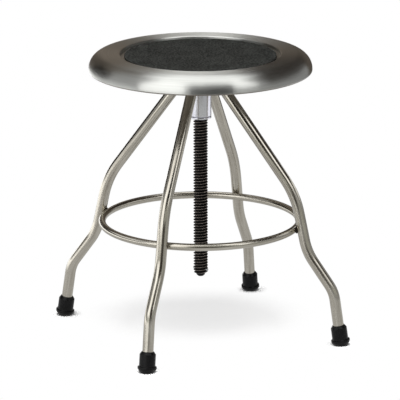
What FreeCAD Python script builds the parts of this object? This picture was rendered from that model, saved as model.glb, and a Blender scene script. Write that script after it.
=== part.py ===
import FreeCAD, Part
import math
import os
from FreeCAD import Vector

# Medical stool: a round metal seat on a lift screw, carried by four bent tube legs with a foot ring.
# Millimetres. The origin is on the floor below the screw, +Z is up, and the legs stand on +X, +Y, -X and -Y.

# Heights above the floor, with the seat screwed almost down
seat_height = 499.4       # top of the mat
screw_end_height = 99.3   # lower end of the screw
foot_ring_height = 200.4  # middle of the foot ring's bar

# Legs: points of the tube's centre line, as a radius from the screw and a height
leg_count = 4
leg_od = 19.05
leg_wall = 1.65
leg_joint_drop = 1.1      # hub's top down to where the centre line meets the hub
knee_radius = 176.2
knee_height = 262.9
shin_radius = 198.0
shin_height = 162.4
ankle_radius = 248.0
ankle_height = 94.3
foot_radius = 262.3       # where the centre line would meet the floor
knee_bend = 153.0
shin_bend = 97.0
ankle_bend = 59.0
leg_top_land = 3.0        # height of bare hub left above the cut tops of the legs

# Foot ring
ring_bar = 12.7

# Rubber tips, with heights measured along the leg from the floor
tip_height = 35.5
tip_collar_od = 28.0
tip_mouth_od = 21.6
tip_mouth_drop = 5.0      # height of the cone at the mouth
tip_flare_od = 33.5
tip_flare_height = 7.0
tip_flare_top = 12.5      # where the flare has run into the collar
tip_sole_od = 25.5
tip_sole = 8.0            # rubber below the washer
tip_fit = 0.05
tip_washer = 1.5
tip_washer_play = 0.4

# Hub: a sleeve with the lift nut in its lower end and a guide bush in its upper end
hub_length = 88.0
hub_gap = 6.0             # left between the hub and the jam washer with the seat at its rest height
hub_od = 38.1
hub_wall = 3.2
nut_flange = 4.0
nut_barrel = 34.0
bush_flange = 1.6
bush_barrel = 18.0
hub_fit = 0.05
screw_fit = 0.08          # radial running clearance of the screw in the nut and the bush

# Lift screw
screw_od = 25.4
screw_chamfer = 1.2
nose_od = 15.2
nose_length = 6.5
nose_chamfer = 2.8
neck_od = 19.0
stop_pin_od = 4.8
stop_pin_length = 30.4
stop_pin_rise = 6.5       # from the end of the thread up to the pin
stop_pin_turn = -15.0     # degrees from +X
stop_pin_fit = 0.03

# Washer that keeps the seat from jamming on the hub
washer_od = 35.0
washer_thickness = 2.4
washer_play = 0.3         # above it and below it
washer_fit = 0.08

# Seat fixing: flange on the screw's neck, studs on a stiffener disc
flange_od = 92.0
flange_thickness = 5.0
boss_od = 36.0
boss_height = 4.5
neck_fit = 0.03
stiffener_od = 150.0
stiffener_thickness = 2.0
stud_count = 4
stud_circle = 68.0
stud_od = 6.0
stud_length = 13.0
stud_hole = 6.6
stud_nut_flats = 10.0
stud_nut_height = 5.0
stud_fit = 0.05

# Seat shell of spun sheet, and the mat in its recess
seat_od = 390.0
sheet = 1.2
crown_width = 56.0        # foot of the recess wall out to the rim
mat_gap = 6.5             # around the mat
mat_thickness = 3.2
mat_edge = 0.8
lip_rise = 1.9            # lip of the recess above the mat
lip_run = 2.5             # lean of the recess wall
lip_bend = 5.5
crest_rise = 3.0          # highest line of the crown above the mat
crest_share = 0.7         # how far that line lies from the lip out to the shoulder
crest_bend = 5.0
crest_fall = 0.6          # drop of the crown from the crest out to the rim
shoulder_bend = 26.5
skirt_depth = 28.4        # mat top down to the rolled edge
edge_bend = 4.0
edge_width = 7.0
edge_height = 6.5


def point(radius, height):
    """A point of the XZ half plane, from its radius and its height."""
    return Vector(radius, 0, height)


def rounded_edges(corners):
    """Straight and arc edges through (point, bend radius) corners, with the bends tangent to the runs."""
    edges = []
    last = corners[0][0]
    for number in range(1, len(corners) - 1):
        corner, bend = corners[number]
        back = (corners[number - 1][0] - corner).normalize()
        ahead = (corners[number + 1][0] - corner).normalize()
        if bend > 0:
            half = back.getAngle(ahead) / 2
            setback = bend / math.tan(half)
            middle = (back + ahead).normalize() * (bend / math.sin(half) - bend)
            start = corner + back * setback
            end = corner + ahead * setback
            edges.append(Part.LineSegment(last, start).toShape())
            edges.append(Part.Arc(start, corner + middle, end).toShape())
        else:
            end = corner
            edges.append(Part.LineSegment(last, end).toShape())
        last = end
    edges.append(Part.LineSegment(last, corners[-1][0]).toShape())
    return edges


def outline(points):
    """Straight edges through points."""
    return [Part.LineSegment(a, b).toShape() for a, b in zip(points, points[1:])]


def turned(edges):
    """A solid turned about the Z axis from edges whose two ends lie on the axis or meet."""
    loop = list(edges)
    first = loop[0].firstVertex(True).Point
    last = loop[-1].lastVertex(True).Point
    if first.distanceToPoint(last) > 1e-6:
        loop.append(Part.LineSegment(last, first).toShape())
    face = Part.Face(Part.Wire(loop))
    return face.revolve(Vector(0, 0, 0), Vector(0, 0, 1), 360)


def tube(outer_od, inner_od, bottom, top):
    """An upright tube about the Z axis."""
    outer = Part.makeCylinder(outer_od / 2, top - bottom, Vector(0, 0, bottom))
    return outer.cut(Part.makeCylinder(inner_od / 2, top - bottom, Vector(0, 0, bottom)))


def around(shape, count, number, start=0.0):
    """One of count copies of a shape, spaced evenly about the Z axis."""
    copy = shape.copy()
    copy.rotate(Vector(0, 0, 0), Vector(0, 0, 1), start + 360.0 * number / count)
    return copy


def ring_of(shape, count, start=0.0):
    """All count copies of a shape about the Z axis, as separate solids of one compound."""
    return Part.makeCompound([around(shape, count, number, start) for number in range(count)])


# Foot of the recess wall, from the axis
recess_radius = seat_od / 2 - crown_width

# Levels of the seat's parts, from the mat down
recess_floor = seat_height - mat_thickness
shell_underside = recess_floor - sheet
stiffener_bottom = shell_underside - stiffener_thickness
flange_bottom = stiffener_bottom - flange_thickness
boss_bottom = flange_bottom - boss_height
washer_top = boss_bottom - washer_play
washer_bottom = washer_top - washer_thickness
thread_top = washer_bottom - washer_play
thread_bottom = screw_end_height + nose_length
stop_pin_height = thread_bottom + stop_pin_rise
hub_top = washer_bottom - hub_gap
hub_bottom = hub_top - hub_length

# Line of the leg's last run, from the floor up to the ankle
foot = point(foot_radius, 0)
foot_line = (point(ankle_radius, ankle_height) - foot).normalize()
leg_end = foot + foot_line * (tip_sole + tip_washer)


def leg_line():
    """Centre line of a leg, from the screw's axis down to the washer in the tip."""
    joint = point(hub_od / 2, hub_top - leg_joint_drop)
    knee = point(knee_radius, knee_height)
    slope = (joint - knee).normalize()
    start = joint + slope * (joint.x / -slope.x)
    corners = [
        (start, 0),
        (knee, knee_bend),
        (point(shin_radius, shin_height), shin_bend),
        (point(ankle_radius, ankle_height), ankle_bend),
        (leg_end, 0),
    ]
    return Part.Wire(rounded_edges(corners))


def swept(line, diameter):
    """A round bar along a centre line."""
    start = line.OrderedVertexes[0].Point
    ahead = line.OrderedEdges[0].tangentAt(line.OrderedEdges[0].FirstParameter)
    circle = Part.Wire(Part.Circle(start, ahead, diameter / 2).toShape())
    return line.makePipeShell([circle], True, False)


def leg():
    """Bent tube, coped to the hub and cut level just under the hub's top."""
    line = leg_line()
    bent = swept(line, leg_od).cut(swept(line, leg_od - 2 * leg_wall))
    hub_space = Part.makeCylinder(hub_od / 2, 2 * hub_top)
    cut_level = hub_top - leg_top_land
    above = Part.makeCylinder(knee_radius, hub_top, Vector(0, 0, cut_level))
    return bent.cut(hub_space).cut(above)


def ring_radius():
    """Radius of the foot ring's centre line at which its bar just touches the inner side of the legs."""
    line = leg_line()
    touch = (leg_od + ring_bar) / 2
    near = 0.0
    far = shin_radius
    for _ in range(40):
        middle = (near + far) / 2
        gap = Part.Vertex(point(middle, foot_ring_height)).distToShape(line)[0]
        if gap > touch:
            near = middle
        else:
            far = middle
    return near


def foot_ring():
    """Bar bent into a closed ring inside the legs."""
    return Part.makeTorus(ring_radius(), ring_bar / 2, Vector(0, 0, foot_ring_height))


def onto_foot(shape):
    """A shape turned about the Z axis, leaned and moved onto the end of the leg on +X."""
    lean = math.degrees(math.atan2(foot_line.x, foot_line.z))
    placed = shape.copy()
    placed.rotate(Vector(0, 0, 0), Vector(0, 1, 0), lean)
    placed.translate(foot)
    return placed


def foot_tip():
    """Rubber tip with a flared foot and a cone at its mouth, worn flat to the floor."""
    bore = leg_od / 2 + tip_fit
    under_slope = (tip_flare_od - tip_sole_od) / 2 / tip_flare_height
    below = tip_flare_height / 2
    shape = turned(outline([
        point(0, -below),
        point(tip_sole_od / 2 - under_slope * below, -below),
        point(tip_flare_od / 2, tip_flare_height),
        point(tip_collar_od / 2, tip_flare_top),
        point(tip_collar_od / 2, tip_height - tip_mouth_drop),
        point(tip_mouth_od / 2, tip_height),
        point(bore, tip_height),
        point(bore, tip_sole),
        point(0, tip_sole),
    ]))
    side = 2 * tip_flare_od
    floor = Part.makeBox(side, side, side, foot + Vector(-side / 2, -side / 2, -side))
    return onto_foot(shape).cut(floor)


def foot_washer():
    """Steel disc in the tip, which keeps the tube from cutting through the rubber."""
    radius = leg_od / 2 - tip_washer_play
    return onto_foot(Part.makeCylinder(radius, tip_washer, Vector(0, 0, tip_sole)))


def hub_sleeve():
    """Sleeve that the legs are welded to."""
    return tube(hub_od, hub_od - 2 * hub_wall, hub_bottom + nut_flange, hub_top - bush_flange)


def lift_nut():
    """Threaded bush with a flange below the sleeve, its bore left at the thread's outer diameter."""
    flange_top = hub_bottom + nut_flange
    barrel_od = hub_od - 2 * hub_wall - 2 * hub_fit
    flange = Part.makeCylinder(hub_od / 2, nut_flange, Vector(0, 0, hub_bottom))
    barrel = Part.makeCylinder(barrel_od / 2, nut_barrel, Vector(0, 0, flange_top))
    bore_length = nut_flange + nut_barrel
    bore = Part.makeCylinder(screw_od / 2 + screw_fit, bore_length, Vector(0, 0, hub_bottom))
    return flange.fuse(barrel).cut(bore).removeSplitter()


def guide_bush():
    """Bush that steadies the screw at the hub's top."""
    flange_bottom_level = hub_top - bush_flange
    barrel_od = hub_od - 2 * hub_wall - 2 * hub_fit
    flange = Part.makeCylinder(hub_od / 2, bush_flange, Vector(0, 0, flange_bottom_level))
    barrel_base = Vector(0, 0, flange_bottom_level - bush_barrel)
    barrel = Part.makeCylinder(barrel_od / 2, bush_barrel, barrel_base)
    bore = Part.makeCylinder(screw_od / 2 + screw_fit, bush_barrel + bush_flange, barrel_base)
    return flange.fuse(barrel).cut(bore).removeSplitter()


def lift_screw():
    """Screw at its outer diameter, with a neck above, a dog point below and a cross hole for the pin."""
    radius = screw_od / 2
    shape = turned(outline([
        point(0, screw_end_height),
        point(nose_od / 2 - nose_chamfer, screw_end_height),
        point(nose_od / 2, screw_end_height + nose_chamfer),
        point(nose_od / 2, thread_bottom),
        point(radius - screw_chamfer, thread_bottom),
        point(radius, thread_bottom + screw_chamfer),
        point(radius, thread_top - screw_chamfer),
        point(radius - screw_chamfer, thread_top),
        point(neck_od / 2, thread_top),
        point(neck_od / 2, shell_underside),
        point(0, shell_underside),
    ]))
    return shape.cut(cross_rod(stop_pin_od + 2 * stop_pin_fit, 2 * screw_od))


def cross_rod(diameter, length):
    """A level rod through the screw's axis at the height and direction of the stop pin."""
    start = Vector(-length / 2, 0, stop_pin_height)
    rod = Part.makeCylinder(diameter / 2, length, start, Vector(1, 0, 0))
    rod.rotate(Vector(0, 0, 0), Vector(0, 0, 1), stop_pin_turn)
    return rod


def stop_pin():
    """Pin through the screw's lower end, which meets the lift nut when the seat is fully up."""
    return cross_rod(stop_pin_od, stop_pin_length)


def jam_washer():
    """Loose washer held on the screw's neck between the thread and the boss."""
    return tube(washer_od, neck_od + 2 * washer_fit, washer_bottom, washer_top)


def stud_place(shape):
    """A shape on the Z axis moved out to the stud circle."""
    moved = shape.copy()
    moved.translate(Vector(stud_circle / 2, 0, 0))
    return moved


def seat_flange():
    """Round plate with a boss, welded on the screw's neck and drilled for the studs."""
    plate = Part.makeCylinder(flange_od / 2, flange_thickness, Vector(0, 0, flange_bottom))
    boss = Part.makeCylinder(boss_od / 2, boss_height, Vector(0, 0, boss_bottom))
    bore_depth = flange_thickness + boss_height
    bore = Part.makeCylinder(neck_od / 2 + neck_fit, bore_depth, Vector(0, 0, boss_bottom))
    hole = Part.makeCylinder(stud_hole / 2, flange_thickness, Vector(0, 0, flange_bottom))
    holes = ring_of(stud_place(hole), stud_count, 360.0 / stud_count / 2)
    return plate.fuse(boss).cut(bore).cut(holes).removeSplitter()


def stiffener_disc():
    """Disc under the shell's recess, with a hole for the screw's neck."""
    return tube(stiffener_od, neck_od + 2 * neck_fit, stiffener_bottom, shell_underside)


def stud():
    """Stud welded to the stiffener disc."""
    base = Vector(0, 0, stiffener_bottom - stud_length)
    return stud_place(Part.makeCylinder(stud_od / 2, stud_length, base))


def stud_nut():
    """Hexagon nut on a stud."""
    bottom = flange_bottom - stud_nut_height
    corner = stud_nut_flats / math.sqrt(3)
    turns = [math.radians(60 * number) for number in range(7)]
    corners = [Vector(corner * math.cos(t), corner * math.sin(t), bottom) for t in turns]
    prism = Part.Face(Part.makePolygon(corners)).extrude(Vector(0, 0, stud_nut_height))
    hole = Part.makeCylinder(stud_od / 2 + stud_fit, stud_nut_height, Vector(0, 0, bottom))
    return stud_place(prism.cut(hole))


def seat_shell():
    """Spun shell: a recess for the mat, a low crown, a round shoulder and a closed roll at its edge."""
    rim = seat_od / 2
    lip = recess_radius + lip_run
    lip_top = seat_height + lip_rise
    crest = lip + crest_share * (rim - shoulder_bend - lip)
    crest_top = seat_height + crest_rise
    shoulder_top = crest_top - crest_fall
    edge = seat_height - skirt_depth
    wall_angle = math.atan2(lip_top - recess_floor, lip_run)
    offset = sheet * math.tan(wall_angle / 2)
    outside = [
        (point(0, recess_floor), 0),
        (point(recess_radius, recess_floor), 0),
        (point(lip, lip_top), lip_bend),
        (point(crest, crest_top), crest_bend),
        (point(rim, shoulder_top), shoulder_bend),
        (point(rim, edge), edge_bend),
        (point(rim - edge_width, edge), 0),
    ]
    inside = [
        (point(rim - edge_width, edge), 0),
        (point(rim - edge_width, edge + edge_height), 0),
        (point(rim - sheet, edge + edge_height), 0),
        (point(rim - sheet, shoulder_top - sheet), shoulder_bend - sheet),
        (point(crest, crest_top - sheet), crest_bend - sheet),
        (point(lip + offset, lip_top - sheet), lip_bend - sheet),
        (point(recess_radius + offset, shell_underside), 0),
        (point(0, shell_underside), 0),
    ]
    return turned(rounded_edges(outside) + rounded_edges(inside))


def seat_mat():
    """Rubber mat in the recess, its top edge broken."""
    radius = recess_radius - mat_gap
    disc = Part.makeCylinder(radius, mat_thickness, Vector(0, 0, recess_floor))
    circles = [edge for edge in disc.Edges if edge.isClosed()]
    top_circle = max(circles, key=lambda edge: edge.BoundBox.ZMin)
    return disc.makeChamfer(mat_edge, [top_circle])


def nodes():
    """Every node of the stool, by name."""
    found = {
        "hub_sleeve": hub_sleeve(),
        "lift_nut": lift_nut(),
        "guide_bush": guide_bush(),
        "foot_ring": foot_ring(),
        "jam_washer": jam_washer(),
        "lift_screw": lift_screw(),
        "stop_pin": stop_pin(),
        "seat_flange": seat_flange(),
        "stiffener_disc": stiffener_disc(),
        "flange_studs": ring_of(stud(), stud_count, 360.0 / stud_count / 2),
        "stud_nuts": ring_of(stud_nut(), stud_count, 360.0 / stud_count / 2),
        "seat_shell": seat_shell(),
        "seat_mat": seat_mat(),
    }
    one_leg = leg()
    one_tip = foot_tip()
    one_washer = foot_washer()
    for number in range(leg_count):
        found[f"leg_{number + 1}"] = around(one_leg, leg_count, number)
        found[f"foot_tip_{number + 1}"] = around(one_tip, leg_count, number)
        found[f"tip_washer_{number + 1}"] = around(one_washer, leg_count, number)
    return found


os.makedirs("parts", exist_ok=True)
for name, shape in nodes().items():
    shape.exportStep(f"parts/{name}.step")
    print(name, len(shape.Solids), round(shape.Volume, 1), shape.isValid())
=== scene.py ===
import bpy
import bmesh
import math
from mathutils import Matrix, Vector


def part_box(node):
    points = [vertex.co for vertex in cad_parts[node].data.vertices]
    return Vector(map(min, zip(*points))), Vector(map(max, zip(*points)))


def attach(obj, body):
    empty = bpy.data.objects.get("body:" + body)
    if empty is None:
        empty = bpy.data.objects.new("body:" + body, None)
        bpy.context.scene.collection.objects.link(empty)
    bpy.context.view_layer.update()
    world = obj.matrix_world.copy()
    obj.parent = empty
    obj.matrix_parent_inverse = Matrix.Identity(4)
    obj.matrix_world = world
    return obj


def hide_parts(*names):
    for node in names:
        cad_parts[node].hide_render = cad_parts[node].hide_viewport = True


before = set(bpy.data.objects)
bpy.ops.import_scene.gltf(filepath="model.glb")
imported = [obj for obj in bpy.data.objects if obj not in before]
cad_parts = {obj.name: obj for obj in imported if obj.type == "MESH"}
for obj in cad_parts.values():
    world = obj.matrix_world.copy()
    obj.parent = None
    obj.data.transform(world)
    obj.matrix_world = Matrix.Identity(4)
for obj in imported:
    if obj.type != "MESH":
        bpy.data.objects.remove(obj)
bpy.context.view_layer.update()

# Revolving medical stool: spun seat on a lift screw, four bent tube legs, foot ring and rubber tips.
# Sizes in the dictionaries are millimetres and degrees; mm turns them into the scene's metres.
mm = 0.001
scene = bpy.context.scene
scene.view_settings.view_transform = "Standard"


# Small tools

def fromHex(code):
    channels = [int(code[i:i + 2], 16) / 255 for i in (1, 3, 5)]
    linear = [c / 12.92 if c <= 0.04045 else ((c + 0.055) / 1.055) ** 2.4 for c in channels]
    return (*linear, 1.0)


# adds one node to a shader or geometry tree. A key is a property of the node, or else an input,
# which takes a value, a socket, or the first output that another node has in use
def addNode(tree, kind, settings=None):
    node = tree.nodes.new(kind)
    settings = settings or {}
    properties = [key for key in settings if isinstance(key, str) and hasattr(node, key)]
    for key in properties:
        setattr(node, key, settings[key])
    for key, value in settings.items():
        if key in properties:
            continue
        if isinstance(value, bpy.types.Node):
            value = next(socket for socket in value.outputs if socket.enabled)
        if isinstance(value, bpy.types.NodeSocket):
            tree.links.new(value, node.inputs[key])
        else:
            node.inputs[key].default_value = value
    return node


# a line through (radius, height, bend) corners, with each bend drawn as an arc; a sharp corner has no bend
def bentLine(corners, arcStep=6.0):
    points = [Vector(corners[0][:2])]
    for back, here, ahead in zip(corners, corners[1:], corners[2:]):
        corner = Vector(here[:2])
        bend = here[2] if len(here) > 2 else 0
        if not bend:
            points.append(corner)
            continue
        toBack = (Vector(back[:2]) - corner).normalized()
        toAhead = (Vector(ahead[:2]) - corner).normalized()
        half = toBack.angle(toAhead) / 2
        centre = corner + (toBack + toAhead).normalized() * (bend / math.sin(half))
        start = corner + toBack * (bend / math.tan(half)) - centre
        end = corner + toAhead * (bend / math.tan(half)) - centre
        turn = start.angle(end) * (1 if start.cross(end) > 0 else -1)
        steps = max(2, math.ceil(abs(math.degrees(turn)) / arcStep))
        points += [centre + Matrix.Rotation(turn * i / steps, 2) @ start for i in range(steps + 1)]
    points.append(Vector(corners[-1][:2]))
    return points


# how far each point of a line lies along it
def walk(line):
    walked = [0.0]
    for here, ahead in zip(line, line[1:]):
        walked.append(walked[-1] + (ahead - here).length)
    return walked


# a node's lower end, upper end and radius, from its box
def sizeOf(node):
    low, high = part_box(node)
    return low.z / mm, high.z / mm, high.x / mm


def newObject(name, mesh):
    obj = bpy.data.objects.new(name, mesh)
    scene.collection.objects.link(obj)
    return obj


def fromBmesh(name, bm):
    bmesh.ops.recalc_face_normals(bm, faces=bm.faces[:])
    mesh = bpy.data.meshes.new(name)
    bm.to_mesh(mesh)
    bm.free()
    return newObject(name, mesh)


# points in millimetres joined in a row, or in a loop
def pathObject(name, points, closed=False):
    mesh = bpy.data.meshes.new(name)
    edges = [(i, i + 1) for i in range(len(points) - 1)]
    if closed:
        edges.append((len(points) - 1, 0))
    mesh.from_pydata([p * mm for p in points], edges, [])
    return newObject(name, mesh)


# replaces an object's mesh by the result of its modifiers
def applyModifiers(obj):
    depsgraph = bpy.context.evaluated_depsgraph_get()
    made = bpy.data.meshes.new_from_object(
        obj.evaluated_get(depsgraph), preserve_all_data_layers=True, depsgraph=depsgraph)
    obj.modifiers.clear()
    old = obj.data
    obj.data = made
    bpy.data.meshes.remove(old)
    made.name = obj.name


def place(obj, matrix):
    obj.data.transform(matrix)
    obj.data.update()
    return obj


def paint(obj, material):
    obj.data.materials.clear()
    obj.data.materials.append(material)


# smooth shading that keeps flat faces flat and creases sharp
def shadeSmooth(obj, crease=38.0):
    obj.data.polygons.foreach_set("use_smooth", [True] * len(obj.data.polygons))
    obj.data.set_sharp_from_angle(angle=math.radians(crease))
    weighted = obj.modifiers.new("flatFaces", "WEIGHTED_NORMAL")
    weighted.keep_sharp = True
    applyModifiers(obj)
    return obj


# skins rows of points, with u round each row and vs as their v; a row may be one point, as at a pole,
# and one v more than there are rows joins the last row to the first
def skinRows(bm, layer, rows, vs):
    sides = max(len(row) for row in rows)
    for i in range(len(vs) - 1):
        low, high = rows[i], rows[(i + 1) % len(rows)]
        vLow, vHigh = vs[i], vs[i + 1]
        if len(low) == len(high) == 1:
            continue
        for k in range(sides):
            corners = []
            for row, turn, v in ((low, k, vLow), (low, k + 1, vLow), (high, k + 1, vHigh), (high, k, vHigh)):
                vert = row[turn % len(row)]
                if all(vert is not corner[0] for corner in corners):
                    corners.append((vert, turn, v))
            face = bm.faces.new([corner[0] for corner in corners])
            for loop, (_, turn, v) in zip(face.loops, corners):
                loop[layer].uv = (turn / sides, v)


# turns a closed outline of (radius, height, bend) corners about the Z axis, with u round it and v along it
def lathe(name, corners, steps=192, arcStep=6.0):
    outline = bentLine(corners + corners[:1], arcStep)
    bm = bmesh.new()
    layer = bm.loops.layers.uv.new("spin")
    rows = []
    for radius, height in outline[:-1]:
        turns = [2 * math.pi * k / steps for k in range(steps)] if radius > 1e-6 else [0.0]
        rows.append([bm.verts.new((radius * mm * math.cos(turn), radius * mm * math.sin(turn), height * mm))
                     for turn in turns])
    skinRows(bm, layer, rows, walk(outline))
    return fromBmesh(name, bm)


# a piece that is finished when it comes off the lathe
def turned(name, material, corners, steps=192, arcStep=6.0):
    obj = lathe(name, corners, steps, arcStep)
    paint(obj, material)
    return shadeSmooth(obj)


# cuts a mesh at a height; with clear set, what lies beyond is dropped and the hole closed
def cutFlat(bm, height, up, clear=True):
    everything = bm.verts[:] + bm.edges[:] + bm.faces[:]
    bmesh.ops.bisect_plane(bm, geom=everything, dist=1e-7, plane_co=(0, 0, height * mm), plane_no=(0, 0, up),
                           clear_outer=clear)
    if clear:
        bmesh.ops.holes_fill(bm, edges=[edge for edge in bm.edges if edge.is_boundary])


def combine(obj, operation, other):
    modifier = obj.modifiers.new(operation, "BOOLEAN")
    modifier.operation = operation
    modifier.solver = "EXACT"
    modifier.object = other
    applyModifiers(obj)
    bpy.data.objects.remove(other)


# rides a finished piece on its body and lets it stand for its nodes
def install(obj, body, finish, *nodes):
    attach(obj, body)
    if nodes:
        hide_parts(*nodes)
    print("made", obj.name, len(obj.data.polygons))


# Geometry node trees

# a tree with its named inputs, between the mesh and the material that all of them take
def newTree(name, sockets):
    tree = bpy.data.node_groups.new(name, "GeometryNodeTree")
    for label, kind in [("Mesh", "Geometry")] + sockets + [("Material", "Material")]:
        tree.interface.new_socket(label, in_out="INPUT", socket_type="NodeSocket" + kind)
    tree.interface.new_socket("Mesh", in_out="OUTPUT", socket_type="NodeSocketGeometry")
    return tree, addNode(tree, "NodeGroupInput").outputs


# ends a tree in Realize Instances and Set Material
def endTree(tree, given, geometry):
    plain = addNode(tree, "GeometryNodeRealizeInstances", {"Geometry": geometry})
    painted = addNode(tree, "GeometryNodeSetMaterial", {"Geometry": plain, "Material": given["Material"]})
    addNode(tree, "NodeGroupOutput", {0: painted})
    return tree


# copies of the mesh, evenly spaced about the Z axis
def ringTree():
    tree, given = newTree("copiesAroundAxis", [("Count", "Int"), ("Start Angle", "Float")])
    spots = addNode(tree, "GeometryNodePoints", {"Count": given["Count"]})
    index = addNode(tree, "GeometryNodeInputIndex")
    share = addNode(tree, "ShaderNodeMath", {"operation": "DIVIDE", 0: index, 1: given["Count"]})
    turn = addNode(tree, "ShaderNodeMath", {
        "operation": "MULTIPLY_ADD", 0: share, 1: 2 * math.pi, 2: given["Start Angle"]})
    spin = addNode(tree, "ShaderNodeCombineXYZ", {"Z": turn})
    copies = addNode(tree, "GeometryNodeInstanceOnPoints", {
        "Points": spots, "Instance": given["Mesh"], "Rotation": spin})
    return endTree(tree, given, copies)


# sweeps one pitch of thread profile, drawn as (radius, 0, height), up a right-hand helix
def threadTree():
    tree, given = newTree("threadHelix", [("Pitch", "Float"), ("Turns", "Int"), ("Steps per Turn", "Int")])
    size = addNode(tree, "GeometryNodeAttributeDomainSize", {"Geometry": given["Mesh"]})
    count = size.outputs["Point Count"]
    steps = given["Steps per Turn"]
    rows = addNode(tree, "ShaderNodeMath", {
        "operation": "MULTIPLY_ADD", 0: given["Turns"], 1: steps, 2: 1.0})
    grid = addNode(tree, "GeometryNodeMeshGrid", {"Vertices X": rows, "Vertices Y": count})
    index = addNode(tree, "GeometryNodeInputIndex")
    ratio = addNode(tree, "ShaderNodeMath", {"operation": "DIVIDE", 0: index, 1: count})
    nudge = addNode(tree, "ShaderNodeMath", {"operation": "ADD", 0: ratio, 1: 1e-4})
    row = addNode(tree, "ShaderNodeMath", {"operation": "FLOOR", 0: nudge})
    rowStart = addNode(tree, "ShaderNodeMath", {"operation": "MULTIPLY", 0: row, 1: count})
    column = addNode(tree, "ShaderNodeMath", {"operation": "SUBTRACT", 0: index, 1: rowStart})
    position = addNode(tree, "GeometryNodeInputPosition")
    sample = addNode(tree, "GeometryNodeSampleIndex", {
        "data_type": "FLOAT_VECTOR", "Geometry": given["Mesh"], "Value": position, "Index": column})
    profile = addNode(tree, "ShaderNodeSeparateXYZ", {0: sample}).outputs
    turns = addNode(tree, "ShaderNodeMath", {"operation": "DIVIDE", 0: row, 1: steps})
    angle = addNode(tree, "ShaderNodeMath", {"operation": "MULTIPLY", 0: turns, 1: 2 * math.pi})
    cosine = addNode(tree, "ShaderNodeMath", {"operation": "COSINE", 0: angle})
    sine = addNode(tree, "ShaderNodeMath", {"operation": "SINE", 0: angle})
    across = addNode(tree, "ShaderNodeMath", {"operation": "MULTIPLY", 0: profile["X"], 1: cosine})
    deep = addNode(tree, "ShaderNodeMath", {"operation": "MULTIPLY", 0: profile["X"], 1: sine})
    lift = addNode(tree, "ShaderNodeMath", {
        "operation": "MULTIPLY_ADD", 0: turns, 1: given["Pitch"], 2: profile["Z"]})
    spot = addNode(tree, "ShaderNodeCombineXYZ", {"X": across, "Y": deep, "Z": lift})
    moved = addNode(tree, "GeometryNodeSetPosition", {"Geometry": grid, "Position": spot})
    joined = addNode(tree, "GeometryNodeMergeByDistance", {"Geometry": moved, "Distance": 1e-6})
    return endTree(tree, given, joined)


# a weld bead along the mesh's edges: a tube that swells at each ripple, no two ripples quite alike
def weldTree():
    unevenShare, pointsPerRipple, sides = 0.35, 5, 12
    tree, given = newTree("weldBead", [
        ("Radius", "Float"), ("Ripple Spacing", "Float"), ("Ripple Depth", "Float"), ("Seed", "Int")])
    curve = addNode(tree, "GeometryNodeMeshToCurve", {"Mesh": given["Mesh"]})
    fine = addNode(tree, "ShaderNodeMath", {
        "operation": "MULTIPLY", 0: given["Ripple Spacing"], 1: 1 / pointsPerRipple})
    even = addNode(tree, "GeometryNodeResampleCurve", {"mode": "LENGTH", "Curve": curve, "Length": fine})
    walked = addNode(tree, "GeometryNodeSplineParameter").outputs["Length"]
    ripples = addNode(tree, "ShaderNodeMath", {"operation": "DIVIDE", 0: walked, 1: given["Ripple Spacing"]})
    phase = addNode(tree, "ShaderNodeMath", {"operation": "FRACT", 0: ripples})
    uneven = addNode(tree, "FunctionNodeRandomValue", {"data_type": "FLOAT", "Seed": given["Seed"]})
    wobble = addNode(tree, "ShaderNodeMath", {
        "operation": "MULTIPLY_ADD", 0: uneven, 1: unevenShare, 2: phase})
    dip = addNode(tree, "ShaderNodeMath", {"operation": "MULTIPLY", 0: wobble, 1: given["Ripple Depth"]})
    thick = addNode(tree, "ShaderNodeMath", {"operation": "SUBTRACT", 0: given["Radius"], 1: dip})
    circle = addNode(tree, "GeometryNodeCurvePrimitiveCircle", {"Resolution": sides, "Radius": 1.0})
    bead = addNode(tree, "GeometryNodeCurveToMesh", {
        "Fill Caps": True, "Curve": even, "Profile Curve": circle, "Scale": thick})
    return endTree(tree, given, bead)


# runs a tree on an object and keeps the result as its plain mesh
def grow(obj, tree, values):
    modifier = obj.modifiers.new(tree.name, "NODES")
    modifier.node_group = tree
    for item in tree.interface.items_tree:
        if item.in_out == "INPUT" and item.name in values:
            modifier[item.identifier] = values[item.name]
    applyModifiers(obj)
    return obj


aroundAxis = ringTree()
threadHelix = threadTree()
weldBead = weldTree()
print("node trees ready")


# moves a piece out from the Z axis, and repeats it round the axis
def repeatRound(obj, count, start=0.0, radius=0.0, material=None):
    place(obj, Matrix.Translation((radius * mm, 0, 0)))
    values = {"Count": count, "Start Angle": math.radians(start)}
    if material:
        values["Material"] = material
    return grow(obj, aroundAxis, values)


# Finishes. Each is named for what the surface is and how it was made.

def newMaterial(name):
    material = bpy.data.materials.new(name)
    material.use_nodes = True
    material.node_tree.nodes.clear()
    return material, material.node_tree


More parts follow.
